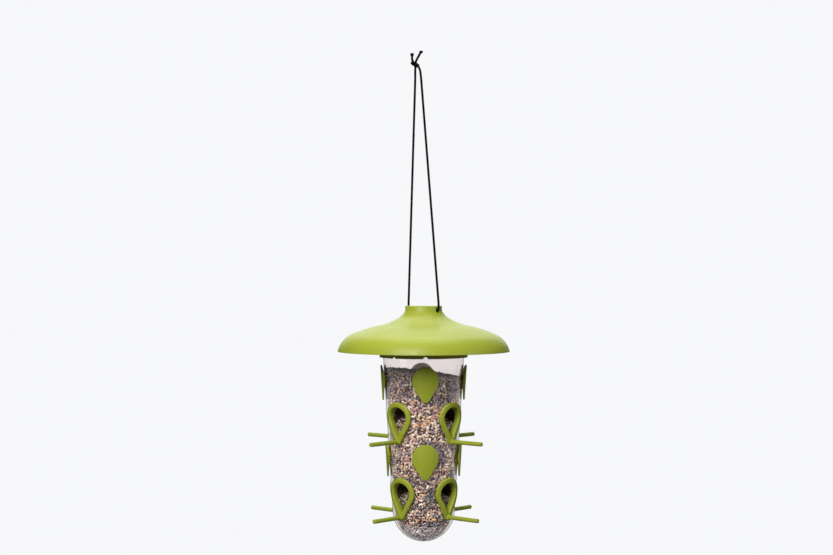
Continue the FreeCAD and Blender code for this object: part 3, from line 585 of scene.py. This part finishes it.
# ---------------------------------------------------------------- perches
# A plain round peg is pushed through each port's boss and stands straight out.
for row, height in port_heights.items():
    surface = tube_radius(height - perch_drop)
    for side, degrees in port_turns.items():
        bpy.ops.object.select_all(action="DESELECT")
        bpy.ops.mesh.primitive_cylinder_add(vertices=40, radius=2.1 * mm, depth=47.0 * mm,
                                            location=(0.0, -(surface + 17.5) * mm, 0.0),
                                            rotation=(math.radians(90), 0.0, 0.0))
        perch = bpy.context.object
        perch.name = f"round_perch_{row}_{side}"
        round_edges(perch, 0.7, 3)
        settle(perch, (axis_x / mm, 0.0, height - perch_drop), turn=math.radians(degrees))
        finish_piece(perch, "tube", lime, f"perch_{row}_{side}")

# ---------------------------------------------------------------- leaf plates
# Between the ports, bent teardrop plates stand just off the tube, each on a round boss whose peg
# passes through the wall.
leaf_heights = {"upper": -306.5, "lower": -382.8}
leaf_turns = {"front_right": 45, "back_right": 135, "back_left": 225, "front_left": 315}
for row, height in leaf_heights.items():
    radius = tube_radius(height)
    plate = teardrop(f"leaf_{row}", 13.75, 4.5, 16.8, -1.6, -3.2)
    round_edges(plate, 0.5, 3)
    wrap(plate, 13.75, radius, narrow=0.9)
    for peg_radius, back, front in ((4.0, 0.0, -2.4), (2.2, 4.2, -1.0)):
        bpy.ops.object.select_all(action="DESELECT")
        bpy.ops.mesh.primitive_cylinder_add(vertices=40, radius=peg_radius * mm,
                                            depth=(back - front) * mm,
                                            location=(0.0, (-radius + (back + front) / 2) * mm,
                                                      0.0),
                                            rotation=(math.radians(90), 0.0, 0.0))
        peg = bpy.context.object
        round_edges(peg, 0.2, 2)
        join(plate, peg)
    for side, degrees in leaf_turns.items():
        choose(plate)
        bpy.ops.object.duplicate()
        leaf = bpy.context.object
        leaf.name = f"leaf_plate_{row}_{side}"
        settle(leaf, (axis_x / mm, 0.0, height), turn=math.radians(degrees))
        finish_piece(leaf, "tube", lime, f"leaf_{row}_{side}")
    bpy.data.objects.remove(plate)

# ---------------------------------------------------------------- seed
# The tube is filled with mixed seed up to a slanting top. A core in painted shade stands for the
# darkness deep in the fill; seeds of three shapes are scattered over it, lying against the wall,
# and run into the ports through their throats.
fill_top = -299.6
fill_slant = 0.12


def seed_body(name, gap):
    """The fill as a solid, its sides that far inside the tube's outside, with the ports cut out."""
    reach = dome_radius - gap
    steps = [(0.0, dome_z - reach)]
    steps += [(reach * math.sin(math.radians(turn)), dome_z - reach * math.cos(math.radians(turn)))
              for turn in range(10, 91, 10)]
    steps += [(tube_radius(dome_z + rise) - gap, dome_z + rise) for rise in range(20, 161, 20)]
    steps.append((0.0, steps[-1][1]))
    body = turned(name, steps, 64)
    choose(body)
    bpy.ops.object.mode_set(mode="EDIT")
    bpy.ops.mesh.select_all(action="SELECT")
    bpy.ops.mesh.bisect(plane_co=(axis_x, 0.0, fill_top * mm - (gap - tube_wall) * mm),
                        plane_no=camera_right * fill_slant + Vector((0.0, 0.0, 1.0)),
                        use_fill=True, clear_outer=True)
    bpy.ops.object.mode_set(mode="OBJECT")
    for height in port_heights.values():
        for degrees in port_turns.values():
            pocket = teardrop("pocket", 12.4, 3.4, 18.0, 16.0, -6.0)
            settle(pocket, (0.0, -tube_radius(height), 0.0))
            settle(pocket, (axis_x / mm, 0.0, height), turn=math.radians(degrees))
            combine(body, pocket)
    return body


core = seed_body("seed_core", tube_wall + 2.6)
# Painted shade: the core's dark brown to near-black stands in for the shade deep between the seeds,
# showing through their gaps.
depth_shade = bpy.data.materials.new("painted shade in the seed's depth")
depth_shade.use_nodes = True
depth_shade_tree = depth_shade.node_tree
depth_shade_shader = depth_shade_tree.nodes["Principled BSDF"]
depth_shade_shader.inputs["Roughness"].default_value = 0.9
depth_shade_place = depth_shade_tree.nodes.new("ShaderNodeTexCoord")
depth_shade_cells = depth_shade_tree.nodes.new("ShaderNodeTexVoronoi")
depth_shade_cells.inputs["Scale"].default_value = 420.0
depth_shade_tree.links.new(depth_shade_place.outputs["Object"], depth_shade_cells.inputs["Vector"])
depth_shade_tint = depth_shade_tree.nodes.new("ShaderNodeValToRGB")
depth_shade_tint.color_ramp.elements[0].color = (0.13, 0.085, 0.06, 1.0)
depth_shade_tint.color_ramp.elements[1].color = (0.02, 0.014, 0.011, 1.0)
depth_shade_tree.links.new(depth_shade_cells.outputs["Distance"], depth_shade_tint.inputs["Fac"])
depth_shade_tree.links.new(depth_shade_tint.outputs["Color"], depth_shade_shader.inputs["Base Color"])
depth_shade_bump = depth_shade_tree.nodes.new("ShaderNodeBump")
depth_shade_bump.inputs["Distance"].default_value = 0.001
depth_shade_bump.invert = True
depth_shade_tree.links.new(depth_shade_cells.outputs["Distance"], depth_shade_bump.inputs["Height"])
depth_shade_tree.links.new(depth_shade_bump.outputs["Normal"], depth_shade_shader.inputs["Normal"])
finish_piece(core, "tube", depth_shade)


def scatter_tree(name, seed, spacing):
    """Nodes that lay seeds of three shapes on a surface and keep each one's number as kind."""
    tree = bpy.data.node_groups.new(name, "GeometryNodeTree")
    tree.interface.new_socket("Surface", in_out="INPUT", socket_type="NodeSocketGeometry")
    tree.interface.new_socket("Seeds", in_out="OUTPUT", socket_type="NodeSocketGeometry")
    entry = tree.nodes.new("NodeGroupInput")
    leave = tree.nodes.new("NodeGroupOutput")
    strewn = tree.nodes.new("GeometryNodeDistributePointsOnFaces")
    strewn.distribute_method = "POISSON"
    strewn.inputs["Distance Min"].default_value = spacing * mm
    strewn.inputs["Density Max"].default_value = 900000.0
    strewn.inputs["Seed"].default_value = seed
    tree.links.new(entry.outputs["Surface"], strewn.inputs["Mesh"])

    def chance(low, high, number, kind="FLOAT"):
        value = tree.nodes.new("FunctionNodeRandomValue")
        value.data_type = kind
        sockets = [s for s in value.inputs if s.enabled]
        sockets[0].default_value = low
        sockets[1].default_value = high
        value.inputs["Seed"].default_value = seed + number
        return [s for s in value.outputs if s.enabled][0]

    sink = tree.nodes.new("ShaderNodeVectorMath")
    sink.operation = "SCALE"
    tree.links.new(strewn.outputs["Normal"], sink.inputs[0])
    tree.links.new(chance(-1.2 * mm, 0.0, 1), sink.inputs["Scale"])
    sunk = tree.nodes.new("GeometryNodeSetPosition")
    tree.links.new(strewn.outputs["Points"], sunk.inputs["Geometry"])
    tree.links.new(sink.outputs["Vector"], sunk.inputs["Offset"])
    kept = tree.nodes.new("GeometryNodeStoreNamedAttribute")
    kept.data_type = "FLOAT"
    kept.domain = "POINT"
    kept.inputs["Name"].default_value = "kind"
    tree.links.new(sunk.outputs["Geometry"], kept.inputs["Geometry"])
    tree.links.new(chance(0.0, 1.0, 2), kept.inputs["Value"])

    shapes = tree.nodes.new("GeometryNodeJoinGeometry")
    for size in ((1.3, 1.45, 0.95), (1.3, 1.9, 0.95), (1.5, 2.7, 1.0)):
        ball = tree.nodes.new("GeometryNodeMeshUVSphere")
        ball.inputs["Segments"].default_value = 6
        ball.inputs["Rings"].default_value = 4
        ball.inputs["Radius"].default_value = mm
        grown = tree.nodes.new("GeometryNodeTransform")
        grown.inputs["Scale"].default_value = size
        tree.links.new(ball.outputs["Mesh"], grown.inputs["Geometry"])
        smooth = tree.nodes.new("GeometryNodeSetShadeSmooth")
        tree.links.new(grown.outputs["Geometry"], smooth.inputs[0])
        single = tree.nodes.new("GeometryNodeGeometryToInstance")
        tree.links.new(smooth.outputs[0], single.inputs[0])
        tree.links.new(single.outputs[0], shapes.inputs[0])

    pick = tree.nodes.new("ShaderNodeMath")
    pick.operation = "POWER"
    pick.inputs[1].default_value = 1.5
    tree.links.new(chance(0.0, 1.0, 3), pick.inputs[0])
    share = tree.nodes.new("ShaderNodeMath")
    share.operation = "MULTIPLY"
    share.inputs[1].default_value = 2.99
    tree.links.new(pick.outputs[0], share.inputs[0])
    index = tree.nodes.new("ShaderNodeMath")
    index.operation = "FLOOR"
    tree.links.new(share.outputs[0], index.inputs[0])

    spun = tree.nodes.new("FunctionNodeRotateRotation")
    spun.rotation_space = "LOCAL"
    tree.links.new(strewn.outputs["Rotation"], spun.inputs["Rotation"])
    tree.links.new(chance((-0.45, -0.3, 0.0), (0.45, 0.3, math.tau), 4, "FLOAT_VECTOR"),
                   spun.inputs["Rotate By"])
    laid = tree.nodes.new("GeometryNodeInstanceOnPoints")
    laid.inputs["Pick Instance"].default_value = True
    tree.links.new(kept.outputs["Geometry"], laid.inputs["Points"])
    tree.links.new(shapes.outputs[0], laid.inputs["Instance"])
    tree.links.new(index.outputs[0], laid.inputs["Instance Index"])
    tree.links.new(spun.outputs["Rotation"], laid.inputs["Rotation"])
    tree.links.new(chance(0.8, 1.15, 5), laid.inputs["Scale"])
    real = tree.nodes.new("GeometryNodeRealizeInstances")
    tree.links.new(laid.outputs["Instances"], real.inputs["Geometry"])
    tree.links.new(real.outputs["Geometry"], leave.inputs["Seeds"])
    return tree


def strew(surface, seed, spacing):
    choose(surface)
    bpy.ops.object.modifier_add(type="NODES")
    surface.modifiers[-1].node_group = scatter_tree(f"{surface.name} scatter", seed, spacing)
    bpy.ops.object.modifier_apply(modifier=surface.modifiers[-1].name)


def keep_faces(piece, wanted):
    """Deletes the faces whose centre and normal the test doesn't want."""
    choose(piece)
    bpy.ops.object.mode_set(mode="EDIT")
    bpy.ops.mesh.select_mode(type="FACE")
    bpy.ops.mesh.select_all(action="DESELECT")
    bpy.ops.object.mode_set(mode="OBJECT")
    for face in piece.data.polygons:
        face.select = not wanted(face.center / mm, face.normal)
    bpy.ops.object.mode_set(mode="EDIT")
    bpy.ops.mesh.delete(type="FACE")
    bpy.ops.object.mode_set(mode="OBJECT")


wall_gap = tube_wall + 1.0


def against_wall(centre, normal):
    across = math.hypot(centre.x - axis_x / mm, centre.y)
    if normal.z > 0.9 and centre.z > -320.0:
        return True
    if centre.z < dome_z:
        return math.hypot(across, dome_z - centre.z) > dome_radius - wall_gap - 0.8
    return across > tube_radius(centre.z) - wall_gap - 0.5


seeds = bpy.data.materials.new("mixed seed")
seeds.use_nodes = True
seeds_tree = seeds.node_tree
seeds_shader = seeds_tree.nodes["Principled BSDF"]
seeds_shader.inputs["Roughness"].default_value = 0.55
seeds_kind = seeds_tree.nodes.new("ShaderNodeAttribute")
seeds_kind.attribute_name = "kind"
seeds_tint = seeds_tree.nodes.new("ShaderNodeValToRGB")
seeds_ramp = seeds_tint.color_ramp
seeds_ramp.interpolation = "CONSTANT"
seed_tints = ((0.00, (0.64, 0.43, 0.36)), (0.24, (0.86, 0.72, 0.58)), (0.40, (0.40, 0.24, 0.21)),
              (0.56, (0.74, 0.47, 0.2)), (0.65, (0.24, 0.23, 0.27)), (0.75, (0.70, 0.53, 0.40)),
              (0.87, (0.08, 0.05, 0.04)), (0.93, (0.95, 0.88, 0.76)))
for stop, (position, tint) in enumerate(seed_tints):
    element = seeds_ramp.elements[stop] if stop < 2 else seeds_ramp.elements.new(position)
    element.position = position
    element.color = (*tint, 1.0)
seeds_tree.links.new(seeds_kind.outputs["Fac"], seeds_tint.inputs["Fac"])
seeds_place = seeds_tree.nodes.new("ShaderNodeTexCoord")
seeds_fleck = seeds_tree.nodes.new("ShaderNodeTexNoise")
seeds_fleck.inputs["Scale"].default_value = 700.0
seeds_fleck.inputs["Detail"].default_value = 3.0
seeds_tree.links.new(seeds_place.outputs["Object"], seeds_fleck.inputs["Vector"])
seeds_shade = seeds_tree.nodes.new("ShaderNodeMapRange")
seeds_shade.inputs["From Min"].default_value = 0.3
seeds_shade.inputs["From Max"].default_value = 0.7
seeds_shade.inputs["To Min"].default_value = 0.6
seeds_shade.inputs["To Max"].default_value = 0.95
seeds_tree.links.new(seeds_fleck.outputs["Fac"], seeds_shade.inputs["Value"])
seeds_drift = seeds_tree.nodes.new("ShaderNodeTexNoise")
seeds_drift.name = "drifts of dark sunflower seed"
seeds_drift.inputs["Scale"].default_value = 55.0
seeds_drift.inputs["Detail"].default_value = 1.0
seeds_tree.links.new(seeds_place.outputs["Object"], seeds_drift.inputs["Vector"])
seeds_where = seeds_tree.nodes.new("ShaderNodeMapRange")
seeds_where.inputs["From Min"].default_value = 0.57
seeds_where.inputs["From Max"].default_value = 0.66
seeds_where.inputs["To Max"].default_value = 0.75
seeds_tree.links.new(seeds_drift.outputs["Fac"], seeds_where.inputs["Value"])
seeds_height = seeds_tree.nodes.new("ShaderNodeSeparateXYZ")
seeds_tree.links.new(seeds_place.outputs["Object"], seeds_height.inputs[0])
# Darker towards the top of the fill, under the brim: partly dark grey seed, partly painted shade
# where the brim's shadow falls.
seeds_top = seeds_tree.nodes.new("ShaderNodeMapRange")
seeds_top.name = "dark seed gathered near the top"
seeds_top.interpolation_type = "SMOOTHSTEP"
seeds_top.inputs["From Min"].default_value = -0.322
seeds_top.inputs["From Max"].default_value = -0.298
seeds_top.inputs["To Max"].default_value = 0.6
seeds_tree.links.new(seeds_height.outputs["Z"], seeds_top.inputs["Value"])
seeds_most = seeds_tree.nodes.new("ShaderNodeMath")
seeds_most.operation = "MAXIMUM"
seeds_tree.links.new(seeds_where.outputs["Result"], seeds_most.inputs[0])
seeds_tree.links.new(seeds_top.outputs["Result"], seeds_most.inputs[1])
seeds_dark = seeds_tree.nodes.new("ShaderNodeMix")
seeds_dark.data_type = "RGBA"
seeds_dark.inputs["B"].default_value = (0.10, 0.10, 0.13, 1.0)
seeds_tree.links.new(seeds_most.outputs[0], seeds_dark.inputs["Factor"])
seeds_tree.links.new(seeds_tint.outputs["Color"], seeds_dark.inputs["A"])
# Painted light: towards the bottom of the dome the seed turns almost white, standing in for light
# bounced up from below.
seeds_low = seeds_tree.nodes.new("ShaderNodeMapRange")
seeds_low.name = "pale husk dust at the bottom"
seeds_low.interpolation_type = "SMOOTHSTEP"
seeds_low.inputs["From Min"].default_value = -0.444
seeds_low.inputs["From Max"].default_value = -0.461
seeds_low.inputs["To Max"].default_value = 0.9
seeds_tree.links.new(seeds_height.outputs["Z"], seeds_low.inputs["Value"])
seeds_lit_bottom = seeds_tree.nodes.new("ShaderNodeMix")
seeds_lit_bottom.data_type = "RGBA"
seeds_lit_bottom.inputs["B"].default_value = (1.0, 0.95, 0.99, 1.0)
seeds_tree.links.new(seeds_low.outputs["Result"], seeds_lit_bottom.inputs["Factor"])
seeds_tree.links.new(seeds_dark.outputs["Result"], seeds_lit_bottom.inputs["A"])
seeds_mix = seeds_tree.nodes.new("ShaderNodeMix")
seeds_mix.data_type = "RGBA"
seeds_mix.blend_type = "MULTIPLY"
seeds_mix.inputs["Factor"].default_value = 1.0
seeds_tree.links.new(seeds_lit_bottom.outputs["Result"], seeds_mix.inputs["A"])
seeds_tree.links.new(seeds_shade.outputs["Result"], seeds_mix.inputs["B"])
seeds_tree.links.new(seeds_mix.outputs["Result"], seeds_shader.inputs["Base Color"])
seeds_bump = seeds_tree.nodes.new("ShaderNodeBump")
seeds_bump.inputs["Strength"].default_value = 0.4
seeds_bump.inputs["Distance"].default_value = 0.0005
seeds_tree.links.new(seeds_fleck.outputs["Fac"], seeds_bump.inputs["Height"])
seeds_tree.links.new(seeds_bump.outputs["Normal"], seeds_shader.inputs["Normal"])

rows_between = (port_heights["upper"] + port_heights["lower"]) / 2
for name, seed, part in (("seed_upper", 3, 1), ("seed_lower", 8, -1)):
    strewn_on = seed_body(name, wall_gap)
    choose(strewn_on)
    bpy.ops.object.mode_set(mode="EDIT")
    bpy.ops.mesh.select_all(action="SELECT")
    bpy.ops.mesh.bisect(plane_co=(0.0, 0.0, rows_between * mm), plane_no=(0.0, 0.0, -part),
                        clear_outer=True)
    bpy.ops.object.mode_set(mode="OBJECT")
    keep_faces(strewn_on, against_wall)
    strew(strewn_on, seed, 2.25)
    finish_piece(strewn_on, "tube", seeds)

# In each port's throat a heap in the painted depth shade lies under a heap top strewn with seed.
heaps = []
heap_tops = []
for row, height in port_heights.items():
    for side, degrees in port_turns.items():
        for parts, gap in ((heaps, 1.0), (heap_tops, 0.0)):
            heap = teardrop(f"heap_{row}_{side}", 12.2, 3.2, 18.0, 16.5, 4.8)
            choose(heap)
            bpy.ops.object.mode_set(mode="EDIT")
            bpy.ops.mesh.select_all(action="SELECT")
            bpy.ops.mesh.bisect(plane_co=(0.0, 4.8 * mm, (-8.5 - gap) * mm),
                                plane_no=(0.0, -0.5, 0.87), use_fill=True, clear_outer=True)
            bpy.ops.object.mode_set(mode="OBJECT")
            if not gap:
                keep_faces(heap, lambda centre, normal: normal.y < -0.3)
            settle(heap, (0.0, -tube_radius(height), 0.0))
            settle(heap, (axis_x / mm, 0.0, height), turn=math.radians(degrees))
            heap.data.materials.append(depth_shade)
            parts.append(heap)
join(core, *heaps)
heap_seed = heap_tops[0]
heap_seed.name = "seed_in_ports"
join(heap_seed, *heap_tops[1:])
strew(heap_seed, 21, 2.1)
finish_piece(heap_seed, "tube", seeds)
